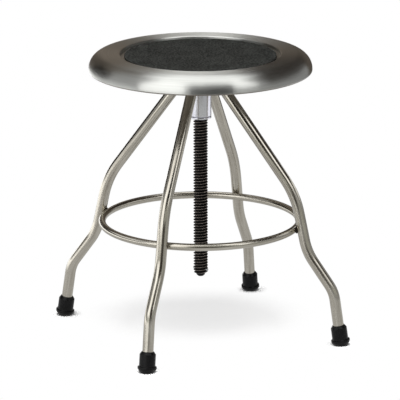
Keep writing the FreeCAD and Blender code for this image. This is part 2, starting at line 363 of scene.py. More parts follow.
# the end that all finishes share: patterns blend the dark and light tones, lay a third tone over them,
# set the gloss between two roughnesses, and raise a grain
def endFinish(tree, look, patterns, shader):
    tone = addNode(tree, "ShaderNodeMix", {
        "data_type": "RGBA", "A": fromHex(look["dark"]), "B": fromHex(look["light"]),
        "Factor": patterns["tone"]})
    if "over" in patterns:
        tone = addNode(tree, "ShaderNodeMix", {
            "data_type": "RGBA", "A": tone, "B": fromHex(look["over"]), "Factor": patterns["over"]})
    least, most = look.get("glossFrom", (0.3, 0.7))
    gloss = addNode(tree, "ShaderNodeMapRange", {
        "From Min": least, "From Max": most, "To Min": look["roughness"][0], "To Max": look["roughness"][1],
        "Value": patterns["gloss"]})
    settings = {**shader, "Base Color": tone, "Roughness": gloss}
    if "grain" in patterns:
        strength, depth = look["relief"]
        settings["Normal"] = addNode(tree, "ShaderNodeBump", {
            "Strength": strength, "Distance": depth * mm, "Height": patterns["grain"]})
    surface = addNode(tree, "ShaderNodeBsdfPrincipled", settings)
    addNode(tree, "ShaderNodeOutputMaterial", {"Surface": surface})


# spun 304 stainless, satin finished on the lathe: fine rings that stretch each reflection across them.
# Real rings are 0.2 mm apart; these are drawn coarser so that they show
def spunStainless():
    # over is that darker tone, painted shade for the shell's underside
    look = {"dark": "#b8b9b5", "light": "#d9dad6", "over": "#8d877f", "roughness": (0.3, 0.35),
            "anisotropy": 0.92, "relief": (0.5, 0.01), "ringSpacing": 1.6, "ringDrift": 1.4,
            "smearScale": 14.0}
    material, tree = newMaterial("spun satin stainless")
    spin = addNode(tree, "ShaderNodeUVMap", {"uv_map": "spin"})
    split = addNode(tree, "ShaderNodeSeparateXYZ", {0: spin})
    where = addNode(tree, "ShaderNodeTexCoord").outputs
    flat = addNode(tree, "ShaderNodeVectorMath", {"operation": "MULTIPLY", 0: where["Object"], 1: (1, 1, 0)})
    heading = addNode(tree, "ShaderNodeVectorMath", {"operation": "NORMALIZE", 0: flat})
    ringHeight = addNode(tree, "ShaderNodeMath", {
        "operation": "DIVIDE", 0: split.outputs["Y"], 1: look["ringSpacing"]})
    up = addNode(tree, "ShaderNodeCombineXYZ", {"Z": ringHeight})
    spread = addNode(tree, "ShaderNodeVectorMath", {
        "operation": "MULTIPLY_ADD", 0: heading, 1: (look["ringDrift"],) * 3, 2: up})
    rings = addNode(tree, "ShaderNodeTexNoise", {
        "Scale": 1.0, "Detail": 4.0, "Roughness": 0.62, "Vector": spread})
    smears = addNode(tree, "ShaderNodeTexNoise", {
        "Scale": look["smearScale"], "Detail": 3.0, "Vector": where["Object"]})
    # the downward-facing side of the shell takes a darker tone: painted shade standing in for the shadow
    # under the seat
    facing = addNode(tree, "ShaderNodeSeparateXYZ", {0: where["Normal"]})
    paintedUndersideShade = addNode(tree, "ShaderNodeMapRange", {
        "From Min": -0.2, "From Max": -0.5, "Value": facing.outputs["Z"]})
    tangent = addNode(tree, "ShaderNodeTangent", {"direction_type": "RADIAL", "axis": "Z"})
    endFinish(tree, look, {"tone": rings, "over": paintedUndersideShade, "gloss": smears, "grain": rings},
              {"Metallic": 1.0, "Anisotropic": look["anisotropy"], "Anisotropic Rotation": 0.25,
               "Tangent": tangent})
    return material


# 304 tube and bar, belt polished: fine lines round the tube blur reflections lengthwise and keep them sharp
# across, and long faint streaks follow the tube. A size is given round the tube and along it
def brushedTube():
    look = {"dark": "#aaa498", "light": "#d0ccc1", "roughness": (0.14, 0.2), "anisotropy": 0.8,
            "relief": (0.1, 0.01), "tubeRadius": 9.5, "grainSize": (16.0, 2.0), "streakSize": (3.5, 60.0),
            "grainShare": 0.2, "toneSpan": 0.22}
    material, tree = newMaterial("belt polished stainless tube")
    run = addNode(tree, "ShaderNodeUVMap", {"uv_map": "run"})
    split = addNode(tree, "ShaderNodeSeparateXYZ", {0: run}).outputs
    turn = addNode(tree, "ShaderNodeMath", {"operation": "MULTIPLY", 0: split["X"], 1: 2 * math.pi})
    cosine = addNode(tree, "ShaderNodeMath", {"operation": "COSINE", 0: turn})
    sine = addNode(tree, "ShaderNodeMath", {"operation": "SINE", 0: turn})
    spot = addNode(tree, "ShaderNodeCombineXYZ", {"X": cosine, "Y": sine, "Z": split["Y"]})
    noises = []
    for around, along in (look["grainSize"], look["streakSize"]):
        scale = (look["tubeRadius"] / around, look["tubeRadius"] / around, 1 / along)
        stretched = addNode(tree, "ShaderNodeVectorMath", {"operation": "MULTIPLY", 0: spot, 1: scale})
        noises.append(addNode(tree, "ShaderNodeTexNoise", {
            "Scale": 1.0, "Detail": 3.0, "Roughness": 0.6, "Vector": stretched}))
    grain, streaks = noises
    both = addNode(tree, "ShaderNodeMath", {
        "operation": "MULTIPLY_ADD", 0: grain, 1: look["grainShare"], 2: streaks})
    middle = 0.5 + 0.5 * look["grainShare"]
    share = addNode(tree, "ShaderNodeMapRange", {
        "From Min": middle - look["toneSpan"], "From Max": middle + look["toneSpan"], "Value": both})
    tangent = addNode(tree, "ShaderNodeTangent", {"direction_type": "UV_MAP", "uv_map": "run"})
    endFinish(tree, look, {"tone": share, "gloss": streaks, "grain": grain},
              {"Metallic": 1.0, "Anisotropic": look["anisotropy"], "Anisotropic Rotation": 0.25,
               "Tangent": tangent})
    return material


# a metal whose colour and gloss drift in soft patches, for the smaller machined and plated parts
def machinedMetal(name, dark, light, roughness, patchSize):
    look = {"dark": dark, "light": light, "roughness": roughness, "relief": (0.25, 0.02)}
    material, tree = newMaterial(name)
    where = addNode(tree, "ShaderNodeTexCoord").outputs
    patches = addNode(tree, "ShaderNodeTexNoise", {
        "Scale": 1 / (patchSize * mm), "Detail": 4.0, "Vector": where["Object"]})
    endFinish(tree, look, {"tone": patches, "gloss": patches, "grain": patches}, {"Metallic": 1.0})
    return material


# black oxide on steel: an oily brown-black, rubbed thin on the thread's crests
def blackOxide(crestRadius, threadDepth):
    look = {"dark": "#060505", "light": "#0e0b09", "over": "#8a8079", "roughness": (0.3, 0.46),
            "crestShare": 0.12, "patchScale": 220.0}
    material, tree = newMaterial("black oxide steel")
    where = addNode(tree, "ShaderNodeTexCoord").outputs
    flat = addNode(tree, "ShaderNodeVectorMath", {"operation": "MULTIPLY", 0: where["Object"], 1: (1, 1, 0)})
    reach = addNode(tree, "ShaderNodeVectorMath", {"operation": "LENGTH", 0: flat})
    crest = addNode(tree, "ShaderNodeMapRange", {
        "From Min": (crestRadius - look["crestShare"] * threadDepth) * mm, "From Max": crestRadius * mm,
        "Value": reach})
    patches = addNode(tree, "ShaderNodeTexNoise", {
        "Scale": look["patchScale"], "Detail": 5.0, "Roughness": 0.6, "Vector": where["Object"]})
    thin = addNode(tree, "ShaderNodeMapRange", {
        "From Min": 0.3, "From Max": 0.6, "To Min": 0.35, "Value": patches})
    wear = addNode(tree, "ShaderNodeMath", {"operation": "MULTIPLY", 0: crest, 1: thin})
    endFinish(tree, look, {"tone": patches, "over": wear, "gloss": patches}, {"Metallic": 0.6})
    return material


# moulded rubber or nylon: semi-matt, with a fine grain and paler scuffs
def mouldedRubber(name, dark, light, roughness, grainSize, grainDepth, mottle, shine):
    look = {"dark": dark, "light": light, "roughness": roughness, "glossFrom": (0.0, 1.0),
            "relief": (0.6, grainDepth), "toneSpan": 0.1, "cloudSize": 9 * grainSize}
    material, tree = newMaterial(name)
    where = addNode(tree, "ShaderNodeTexCoord").outputs
    grain = addNode(tree, "ShaderNodeTexNoise", {
        "Scale": 1 / (grainSize * mm), "Detail": 2.0, "Roughness": 0.7, "Vector": where["Object"]})
    clouds = addNode(tree, "ShaderNodeTexNoise", {
        "Scale": 1 / (look["cloudSize"] * mm), "Detail": 3.0, "Vector": where["Object"]})
    blend = addNode(tree, "ShaderNodeMath", {"operation": "MULTIPLY_ADD", 0: clouds, 1: mottle, 2: grain})
    middle = 0.5 + 0.5 * mottle
    share = addNode(tree, "ShaderNodeMapRange", {
        "From Min": middle - look["toneSpan"], "From Max": middle + look["toneSpan"], "Value": blend})
    endFinish(tree, look, {"tone": share, "gloss": grain, "grain": grain},
              {"IOR": 1.5, "Specular IOR Level": shine})
    return material


thread = {"crestRadius": 12.7, "pitch": 5.08, "depth": 2.79, "crestFlat": 0.85, "rootFlat": 0.9, "edge": 0.2,
          "stepsPerTurn": 36, "endChamfer": 1.2}

satinShell = spunStainless()
polishedTube = brushedTube()
# a metal's dark and light tone, its roughness and the size of its patches
polishedHub = machinedMetal("buffed chrome steel", "#d8d8e0", "#e6e6ee", (0.18, 0.24), 30.0)
# weld beads are near black: partly the weld's own heat tint, partly painted shade of the crevices where legs
# meet hub and ring
weldTintAndPaintedShade = machinedMetal("weld bead, heat tint and painted shade", "#0e0b09", "#40372e", (0.3, 0.5), 2.5)
screwOxide = blackOxide(thread["crestRadius"], thread["depth"])
brightZinc = machinedMetal("bright zinc plate", "#b9bdbf", "#d3d6d6", (0.2, 0.34), 8.0)
bushBronze = machinedMetal("oiled bronze", "#7d5a30", "#a67c45", (0.3, 0.5), 5.0)
# for these, the size and depth of the grain, the share of clouds in it, and the shine
washerNylon = mouldedRubber("natural nylon", "#cfc9b8", "#ded9ca", (0.4, 0.5), 3.0, 0.01, 0.4, 0.4)
tipRubber = mouldedRubber("moulded black rubber", "#020202", "#0b0b0c", (0.26, 0.4), 1.2, 0.03, 0.5, 0.2)
matRubber = mouldedRubber("pebbled rubber mat", "#000000", "#2f302e", (0.7, 0.9), 3.4, 0.4, 0.15, 0.05)
print("finishes ready")


# Seat shell: sheet bent along its middle line, from the recess over the crown to the rolled hem
shellLow, shellHigh, shellRim = sizeOf("seat_shell")
matLow, matHigh, matRim = sizeOf("seat_mat")
shell = {"sheet": 1.2, "recessGap": 7.3, "recessBend": 1.2, "lipRun": 0.1, "lipRise": 2.6, "lipBend": 1.5,
         "crestRadius": 161.0, "crestRound": 0.04, "crestBend": 200.0, "crownFall": 0.6,
         "shoulderBend": 25.9, "hemBend": 3.1, "hemWidth": 6.3, "hemHeight": 5.4, "hemLap": 3.4,
         "lapBend": 1.6, "steps": 288, "arcStep": 5.0}


# the two faces of a sheet, from the line along its middle
def sheetOutline(middle, thickness):
    outer = []
    inner = []
    for i, here in enumerate(middle):
        along = (middle[min(i + 1, len(middle) - 1)] - middle[max(i - 1, 0)]).normalized()
        aside = Vector((-along.y, along.x)) * (thickness / 2)
        outer.append(here + aside)
        inner.append(here - aside)
    outer[0].x = inner[0].x = 0.0
    return outer + inner[::-1]


def makeShell():
    half = shell["sheet"] / 2
    floor, crown, hem = matLow - half, shellHigh - half, shellLow + half
    recess, rim = matRim + shell["recessGap"] + half, shellRim - half
    inward, upward = rim - shell["hemWidth"], hem + shell["hemHeight"]
    middle = bentLine([
        (0, floor),
        (recess, floor, shell["recessBend"]),
        (recess + shell["lipRun"], matHigh + shell["lipRise"] - half, shell["lipBend"]),
        (shell["crestRadius"], crown + shell["crestRound"], shell["crestBend"]),
        (rim, crown - shell["crownFall"], shell["shoulderBend"]),
        (rim, hem, shell["hemBend"]),
        (inward, hem, shell["hemBend"]),
        (inward, upward, shell["lapBend"]),
        (inward + shell["hemLap"], upward),
    ], shell["arcStep"])
    return turned("seatShell", satinShell, sheetOutline(middle, shell["sheet"]), shell["steps"])


install(makeShell(), "seat", "shell_stainless", "seat_shell")

# Seat mat: a loose rubber disc with its edges rounded
mat = {"edge": 0.8, "lowerEdge": 0.4, "inset": 0.05, "arcStep": 15.0}


def makeMat():
    low = matLow + mat["inset"]
    return turned("seatMat", matRubber, [
        (0, low), (matRim, low, mat["lowerEdge"]), (matRim, matHigh, mat["edge"]), (0, matHigh)],
        arcStep=mat["arcStep"])


install(makeMat(), "seat", "mat_rubber", "seat_mat")

# Seat fixing: stiffener disc with spot welds, flange with boss, studs and nuts
fixing = {"neckHole": 9.55, "edge": 0.5, "steps": 128, "bossRadius": 18.0, "bossFillet": 2.0,
          "flangeThickness": 5.0, "holeRadius": 3.3, "studCount": 4, "studCircle": 34.0, "studStart": 45.0,
          "nutFlats": 10.0, "nutBore": 3.05, "nutFace": 0.97, "nutChamfer": 30.0, "nutSides": 48,
          "spotCount": 8, "spotStart": 22.5, "spotCircle": 62.0, "spotRadius": 3.2, "spotHeight": 0.3}
studThread = {"crestRadius": 3.0, "pitch": 1.0, "depth": 0.6, "crestFlat": 0.2, "rootFlat": 0.2,
              "edge": 0.08, "stepsPerTurn": 20, "endChamfer": 0.6}
discLow, discHigh, discRim = sizeOf("stiffener_disc")


def makeDisc():
    hole = fixing["neckHole"]
    return turned("stiffenerDisc", brightZinc, [
        (hole, discHigh), (hole, discLow), (discRim, discLow, fixing["edge"]), (discRim, discHigh)],
        fixing["steps"])


# shallow round marks of the spot welds that hold the disc to the shell
def makeSpots():
    radius, height = fixing["spotRadius"], fixing["spotHeight"]
    dome = [(radius * math.cos(a), discLow - height * math.sin(a)) for a in (0, 0.5, 1.0, 1.3)]
    obj = lathe("spotWelds", dome + [(0, discLow - height), (0, discLow + height)], 20)
    repeatRound(obj, fixing["spotCount"], fixing["spotStart"], fixing["spotCircle"], weldTintAndPaintedShade)
    return shadeSmooth(obj)


# sets a piece at each of the studs
def atStuds(obj, material=None):
    return repeatRound(obj, fixing["studCount"], fixing["studStart"], fixing["studCircle"], material)


def makeFlange():
    low, high, rim = sizeOf("seat_flange")
    plate = high - fixing["flangeThickness"]
    hole, boss, edge, drill = fixing["neckHole"], fixing["bossRadius"], fixing["edge"], fixing["holeRadius"]
    obj = lathe("seatFlange", [
        (hole, high), (hole, low), (boss, low, edge), (boss, plate, fixing["bossFillet"]),
        (rim, plate, edge), (rim, high, edge)], fixing["steps"])
    combine(obj, "DIFFERENCE", atStuds(lathe("drill", [
        (0, low), (drill, low), (drill, high + 1), (0, high + 1)], 32)))
    paint(obj, brightZinc)
    return shadeSmooth(obj)


# a threaded length between two heights, its ends cut square and chamfered
def threadedRod(name, sizes, low, high):
    pitch, crest, depth, edge = sizes["pitch"], sizes["crestRadius"], sizes["depth"], sizes["edge"]
    crestFlat, chamfer, spareTurns = sizes["crestFlat"], sizes["endChamfer"], 2
    flank = (pitch - crestFlat - sizes["rootFlat"]) / 2
    profile = [
        (crest - depth, 0), (crest - edge, flank * (1 - edge / depth)), (crest, flank + edge / 2),
        (crest, flank + crestFlat - edge / 2), (crest - edge, flank + crestFlat + flank * edge / depth),
        (crest - depth, 2 * flank + crestFlat), (crest - depth, pitch)]
    obj = pathObject(name, [Vector((radius, 0, height)) for radius, height in profile])
    turns = math.ceil((high - low) / pitch) + 2 * spareTurns
    grow(obj, threadHelix, {"Pitch": pitch * mm, "Turns": turns, "Steps per Turn": sizes["stepsPerTurn"]})
    place(obj, Matrix.Translation((0, 0, (low - spareTurns * pitch) * mm)))
    bm = bmesh.new()
    bm.from_mesh(obj.data)
    cutFlat(bm, low + chamfer, 1, clear=False)
    cutFlat(bm, high - chamfer, 1, clear=False)
    cutFlat(bm, low, -1)
    cutFlat(bm, high, 1)
    for vert in bm.verts:
        fromEnd = min(vert.co.z / mm - low, high - vert.co.z / mm)
        reach = Vector((vert.co.x, vert.co.y)).length / mm
        limit = crest - max(0.0, chamfer - fromEnd)
        if reach > limit:
            vert.co.x *= limit / reach
            vert.co.y *= limit / reach
    bmesh.ops.recalc_face_normals(bm, faces=bm.faces[:])
    bm.to_mesh(obj.data)
    bm.free()
    return obj


def makeStuds():
    low, high, _ = sizeOf("flange_studs")
    return shadeSmooth(atStuds(threadedRod("flangeStuds", studThread, low, high), brightZinc))


# hexagon nut whose corners are turned down to 30 degrees top and bottom
def makeNuts():
    low, high, _ = sizeOf("stud_nuts")
    flat, bore, sides, sixth = fixing["nutFlats"] / 2, fixing["nutBore"], fixing["nutSides"], math.pi / 6
    face = flat * fixing["nutFace"]
    bm = bmesh.new()
    layer = bm.loops.layers.uv.new("spin")
    columns = []
    for k in range(sides):
        turn = 2 * math.pi * k / sides
        reach = flat / math.cos((turn + sixth) % (2 * sixth) - sixth)
        drop = (reach - face) * math.tan(math.radians(fixing["nutChamfer"]))
        spots = [(bore, low), (face, low), (reach, low + drop),
                 (reach, high - drop), (face, high), (bore, high)]
        columns.append([
            bm.verts.new((radius * mm * math.cos(turn), radius * mm * math.sin(turn), height * mm))
            for radius, height in spots])
    skinRows(bm, layer, columns, range(sides + 1))
    return shadeSmooth(atStuds(fromBmesh("studNuts", bm), brightZinc), 20.0)


install(makeDisc(), "seat", "bright_steel", "stiffener_disc")
install(makeSpots(), "seat", "bright_steel")
install(makeFlange(), "seat", "bright_steel", "seat_flange")
install(makeStuds(), "seat", "bright_steel", "flange_studs")
install(makeNuts(), "seat", "bright_steel", "stud_nuts")
print("seat fixing ready")

# Lift screw: five turns to the inch, with a plain neck above, a dog point below and a hole for the stop pin
screwLow, screwHigh, _ = sizeOf("lift_screw")
washerLow, washerHigh, washerRim = sizeOf("jam_washer")
pinLow, pinHigh, _ = sizeOf("stop_pin")
screw = {"neckRadius": 9.5, "neckRoot": 5.0, "noseRadius": 7.6, "noseLength": 6.5, "noseChamfer": 2.8,
         "noseEdge": 0.6, "steps": 72, "washerPlay": 0.3, "pinRadius": 2.4, "pinLength": 30.4,
         "pinTurn": -15.0, "pinFit": 0.03, "pinChamfer": 0.5, "drillReach": 20.0}
washer = {"fit": 0.08, "edge": 0.5, "boreEdge": 0.4, "land": 2.0, "arcStep": 20.0}


# a turned rod laid across the screw at the stop pin's height and heading
def crossRod(name, corners, steps, arcStep=6.0):
    lifted = Matrix.Translation((0, 0, (pinLow + pinHigh) / 2 * mm))
    laid = Matrix.Rotation(math.radians(screw["pinTurn"]), 4, "Z") @ Matrix.Rotation(math.pi / 2, 4, "Y")
    return place(lathe(name, corners, steps, arcStep), lifted @ laid)


def makeScrew():
    threadHigh = washerLow - screw["washerPlay"]
    obj = threadedRod("liftScrew", thread, screwLow + screw["noseLength"], threadHigh)
    nose, chamfer, edge = screw["noseRadius"], screw["noseChamfer"], screw["noseEdge"]
    neck, root = screw["neckRadius"], threadHigh - screw["neckRoot"]
    combine(obj, "UNION", lathe("core", [
        (0, screwLow), (nose - chamfer, screwLow, edge), (nose, screwLow + chamfer, edge), (nose, root),
        (neck, root), (neck, screwHigh), (0, screwHigh)], screw["steps"]))
    hole, reach = screw["pinRadius"] + screw["pinFit"], screw["drillReach"]
    combine(obj, "DIFFERENCE", crossRod("drill", [
        (0, -reach), (hole, -reach), (hole, reach), (0, reach)], 32))
    paint(obj, screwOxide)
    return shadeSmooth(obj, 30.0)


def makePin():
    radius, half, chamfer = screw["pinRadius"], screw["pinLength"] / 2, screw["pinChamfer"]
    obj = crossRod("stopPin", [
        (0, -half), (radius, -half, chamfer), (radius, half, chamfer), (0, half)], 40, 20.0)
    paint(obj, brightZinc)
    return shadeSmooth(obj)


def makeWasher():
    hole, edge, boreEdge = screw["neckRadius"] + washer["fit"], washer["edge"], washer["boreEdge"]
    return turned("jamWasher", washerNylon, [
        (washerRim - washer["land"], washerLow), (washerRim, washerLow, edge), (washerRim, washerHigh, edge),
        (hole, washerHigh, boreEdge), (hole, washerLow, boreEdge)], 96, washer["arcStep"])


install(makeScrew(), "seat", "black_oxide", "lift_screw")
install(makePin(), "seat", "bright_steel", "stop_pin")
install(makeWasher(), "washer", "nylon", "jam_washer")
print("screw ready")

# Hub: sleeve with the lift nut's flange below it and the guide bush's flange above it
sleeveLow, sleeveHigh, _ = sizeOf("hub_sleeve")
nutLow = sizeOf("lift_nut")[0]
hubTop = sizeOf("guide_bush")[1]
hub = {"radius": 19.05, "wall": 3.2, "bore": 12.78, "seam": 1.5, "bead": 1.7, "edge": 0.5, "nutBarrel": 34.0,
       "bushBarrel": 18.0, "boreChamfer": 1.0, "fit": 0.05, "steps": 160, "arcStep": 15.0}


def makeHub():
    outer, inner = hub["radius"], hub["radius"] - hub["wall"]
    return turned("hubSleeve", polishedHub, [
        ((inner + outer) / 2, sleeveLow), (outer, sleeveLow, hub["seam"]), (outer, sleeveHigh, hub["edge"]),
        (inner, sleeveHigh), (inner, sleeveLow)], hub["steps"], hub["arcStep"])


# a flanged bush: step is the flange's face against the sleeve
def flangedBush(name, material, flangeEnd, step, barrelEnd):
    outer, barrel, bore = hub["radius"], hub["radius"] - hub["wall"] - hub["fit"], hub["bore"]
    lean = math.copysign(hub["boreChamfer"], barrelEnd - flangeEnd)
    return turned(name, material, [
        (bore + hub["boreChamfer"], flangeEnd), (outer, flangeEnd, hub["edge"]), (outer, step, hub["bead"]),
        (barrel, step), (barrel, barrelEnd), (bore, barrelEnd), (bore, flangeEnd + lean)],
        hub["steps"], hub["arcStep"])


install(makeHub(), "stand", "hub_polished", "hub_sleeve")
liftNut = flangedBush("liftNut", polishedHub, nutLow, sleeveLow, sleeveLow + hub["nutBarrel"])
install(liftNut, "stand", "hub_polished", "lift_nut")
guideBush = flangedBush("guideBush", bushBronze, hubTop, sleeveHigh, sleeveHigh - hub["bushBarrel"])
install(guideBush, "stand", "bush_bronze", "guide_bush")
print("hub ready")

# Legs: bent tube, coped into the hub and cut level below its top; radius, height and bend of each corner
legs = {"count": 4, "radius": 9.525, "wall": 1.65, "jointDrop": 1.1, "topLand": 3.0,
        "knee": (176.2, 262.9, 153.0), "shin": (198.0, 162.4, 97.0), "ankle": (248.0, 94.3, 59.0),
        "foot": 262.3, "socket": 9.5, "sides": 48, "arcStep": 3.0, "copeDepth": 1.4, "firstRing": 62.0}
legTop = hubTop - legs["topLand"]
farOff = 1e6
footPoint = Vector((legs["foot"], 0.0))
footHeading = (Vector(legs["ankle"][:2]) - footPoint).normalized()


def legLine():
    joint = Vector((hub["radius"], hubTop - legs["jointDrop"]))
    heading = (joint - Vector(legs["knee"][:2])).normalized()
    first = joint + heading * ((legs["firstRing"] - joint.x) / heading.x)
    end = footPoint + footHeading * legs["socket"]
    return bentLine([first, legs["knee"], legs["shin"], legs["ankle"], end], legs["arcStep"])


# points round the tube, where its line passes here in the direction of along
def roundTube(here, along, radius, count):
    outward = Vector((along.x, 0, along.y)).cross(Vector((0, 1, 0)))
    spots = []
    for k in range(count):
        turn = 2 * math.pi * k / count
        spot = Vector((here.x, 0, here.y)) + outward * radius * math.cos(turn)
        spot.y = radius * math.sin(turn)
        spots.append(spot)
    return spots


# follows a line of the tube up to the hub, until it meets a cylinder of that radius or the level cut
def meetHub(spot, along, radius, level):
    toHub = Vector((-along.x, 0, -along.y))
    a = toHub.x ** 2 + toHub.y ** 2
    b = spot.x * toHub.x + spot.y * toHub.y
    c = spot.x ** 2 + spot.y ** 2 - radius ** 2
    root = b * b - a * c
    reach = (-b - math.sqrt(root)) / a if root > 0 else farOff
    return spot + toHub * min(reach, (level - spot.z) / toHub.z)


def makeLegs():
    line = legLine()
    line.insert(0, line[0] + (line[0] - line[1]).normalized())
    bm = bmesh.new()
    layer = bm.loops.layers.uv.new("run")
    walls = []
    for radius in (legs["radius"], legs["radius"] - legs["wall"]):
        rows = []
        for i, here in enumerate(line):
            along = (line[min(i + 1, len(line) - 1)] - line[max(i - 1, 0)]).normalized()
            spots = roundTube(here, along, radius, legs["sides"])
            if i == 0:
                spots = [meetHub(spot, along, hub["radius"] - legs["copeDepth"], legTop) for spot in spots]
            rows.append([bm.verts.new(spot * mm) for spot in spots])
        skinRows(bm, layer, rows, walk(line))
        walls.append(rows)
    for end in (0, -1):
        skinRows(bm, layer, [walls[0][end], walls[1][end]], (0, 0))
    obj = fromBmesh("legTubes", bm)
    return shadeSmooth(repeatRound(obj, legs["count"], material=polishedTube))


install(makeLegs(), "stand", "tube_stainless", "leg_1", "leg_2", "leg_3", "leg_4")

# Foot ring: round bar bent to a circle, welded to the inner side of the legs
ringLow, ringHigh, ringRim = sizeOf("foot_ring")
ring = {"bar": 6.35, "barSides": 32, "steps": 256}
ringHeight = (ringLow + ringHigh) / 2
ringRadius = ringRim - ring["bar"]


# turned like the other round pieces; then its u is set to run round the bar and its v along it, as on a tube
def makeRing():
    sides = [2 * math.pi * k / ring["barSides"] for k in range(ring["barSides"])]
    circle = [(ringRadius + ring["bar"] * math.cos(side), ringHeight + ring["bar"] * math.sin(side))
              for side in sides]
    obj = lathe("footRing", circle, ring["steps"])
    girth = 2 * ring["bar"] * math.sin(math.pi / ring["barSides"]) * ring["barSides"]
    layer = obj.data.uv_layers["spin"]
    layer.name = "run"
    for corner in layer.uv:
        corner.vector = (corner.vector.y / girth, corner.vector.x * 2 * math.pi * ringRadius)
    paint(obj, polishedTube)
    return shadeSmooth(obj)


install(makeRing(), "stand", "tube_stainless", "foot_ring")

# Weld beads: round each leg at the hub, and round each touch of ring and leg
weld = {"radius": 2.1, "spacing": 1.7, "depth": 0.35, "seed": 4, "ringReach": (5.8, 4.4), "hubSteps": 96,
        "ringSteps": 48, "topClear": 1.0, "widestGap": 3.0}


# the seam of leg and hub, open where the leg's top is cut away
def makeHubWelds():
    line = legLine()
    along = (line[1] - line[0]).normalized()
    spots = roundTube(line[0], along, legs["radius"], weld["hubSteps"])
    met = [meetHub(spot, along, hub["radius"], farOff) for spot in spots + spots[:1]]
    points = [point for point in met if point.z < legTop - weld["topClear"]]
    start = max(range(len(points) - 1), key=lambda i: (points[i + 1] - points[i]).length)
    if (points[start + 1] - points[start]).length > weld["widestGap"]:
        points = points[start + 1:] + points[:start + 1]
    return pathObject("hubWelds", points)


# a loop in the groove where ring and leg touch
def makeRingWelds():
    line = legLine()
    touch = ringRadius + ring["bar"]
    near = min(range(1, len(line) - 1), key=lambda i: abs(line[i].y - ringHeight))
    along = (line[near + 1] - line[near - 1]).normalized()
    wide, tall = weld["ringReach"]
    points = []
    for k in range(weld["ringSteps"]):
        turn = 2 * math.pi * k / weld["ringSteps"]
        y, rise = wide * math.cos(turn), tall * math.sin(turn)
        legSide = touch + legs["radius"] - math.sqrt(legs["radius"] ** 2 - y ** 2) + along.x / along.y * rise
        barSide = touch - ring["bar"] + math.sqrt(ring["bar"] ** 2 - rise ** 2)
        points.append(Vector(((legSide + barSide) / 2, y, ringHeight + rise)))
    return pathObject("ringWelds", points, closed=True)


for bead in (makeHubWelds(), makeRingWelds()):
    grow(bead, weldBead, {"Radius": weld["radius"] * mm, "Ripple Spacing": weld["spacing"] * mm,
                          "Ripple Depth": weld["depth"] * mm, "Seed": weld["seed"], "Material": weldTintAndPaintedShade})
    repeatRound(bead, legs["count"], material=weldTintAndPaintedShade)
    install(shadeSmooth(bead, 60.0), "stand", "tube_stainless")

# Rubber tips: collar with a cone at its mouth and a ledge above the chamfered foot, worn flat to the floor
tip = {"height": 35.5, "collar": 14.0, "mouth": 10.8, "mouthDrop": 4.6, "mouthEdge": 0.7, "collarEdge": 1.5,
       "ledge": 16.5, "ledgeTop": 9.8, "ledgeLow": 6.2, "ledgeSlope": 0.7, "ledgeBends": (1.4, 1.0, 1.2),
       "sole": 12.9, "below": 3.5, "floorInside": 8.0, "bore": 9.575, "boreEdge": 0.3, "steps": 72,
       "arcStep": 12.0}


def makeTips():
    below, height, ledge, bore = tip["below"], tip["height"], tip["ledge"], tip["bore"]
    slope = (ledge - tip["sole"]) / tip["ledgeLow"]
    lowBend, topBend, collarBend = tip["ledgeBends"]
    obj = lathe("footTips", [
        (0, -below), (tip["sole"] - slope * below, -below), (ledge, tip["ledgeLow"], lowBend),
        (ledge, tip["ledgeTop"], topBend), (tip["collar"], tip["ledgeTop"] + tip["ledgeSlope"], collarBend),
        (tip["collar"], height - tip["mouthDrop"], tip["collarEdge"]),
        (tip["mouth"], height, tip["mouthEdge"]), (bore, height, tip["boreEdge"]),
        (bore, tip["floorInside"]), (0, tip["floorInside"])],
        tip["steps"], tip["arcStep"])
    lean = math.atan2(footHeading.x, footHeading.y)
    place(obj, Matrix.Translation((legs["foot"] * mm, 0, 0)) @ Matrix.Rotation(lean, 4, "Y"))
    bm = bmesh.new()
    bm.from_mesh(obj.data)
    cutFlat(bm, 0, -1)
    bm.to_mesh(obj.data)
    bm.free()
    return shadeSmooth(repeatRound(obj, legs["count"], material=tipRubber))


install(makeTips(), "stand", "tip_rubber", "foot_tip_1", "foot_tip_2", "foot_tip_3", "foot_tip_4")
for number in range(1, legs["count"] + 1):
    paint(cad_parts[f"tip_washer_{number}"], brightZinc)
print("stand ready")


# Camera: a long lens, in line with the photograph's view of the legs
camera = {"distance": 5614.3, "height": 1755.1, "azimuth": 20.57, "tilt": 15.126, "roll": 0.09,
          "aside": -1.07, "lens": 297.51, "farthest": 200000.0}


# a point round the stool in the camera's own heading: 0 is towards the camera, 90 to its right
def headingPoint(heading, distance, height=0.0):
    turn = math.radians(camera["azimuth"] + heading)
    return Vector((math.sin(turn) * distance, -math.cos(turn) * distance, height)) * mm


def makeCamera():
    data = bpy.data.cameras.new("camera")
    data.lens = camera["lens"]
    data.clip_end = camera["farthest"] * mm
    obj = newObject("camera", data)
    spot = headingPoint(0, camera["distance"], camera["height"]) + headingPoint(90, camera["aside"])
    aim = Matrix.Translation(spot)
    for turn, axis in ((camera["azimuth"], "Z"), (90 - camera["tilt"], "X"), (-camera["roll"], "Z")):
        aim = aim @ Matrix.Rotation(math.radians(turn), 4, axis)
    obj.matrix_world = aim
    scene.camera = obj


makeCamera()

# Studio: pale floor, soft lamps for the dull surfaces, and cards that only the metal sees.
# A pair is a distance from the stool's middle, or from a tip's, and the level there
studio = {"floor": "#f6f6f6", "floorHalf": 30000.0, "shadeLevel": 0.6, "shadeReach": (100.0, 222.0),
          "shadeAside": -4.0, "shadeBack": 94.0, "shadeDepth": 0.82, "tipShadow": (15.0, 32.0),
          "tipShadowAside": 3.0, "underSeat": (200.0, 0.95), "beside": (700.0, 1.0),
          "glossNear": (900.0, 0.65), "glossFar": (1750.0, 0.28), "worldLight": 0.44, "glossWorld": 0.4,
          "lampAim": 400.0, "archMiddle": 450.0, "cardStep": 5.0}


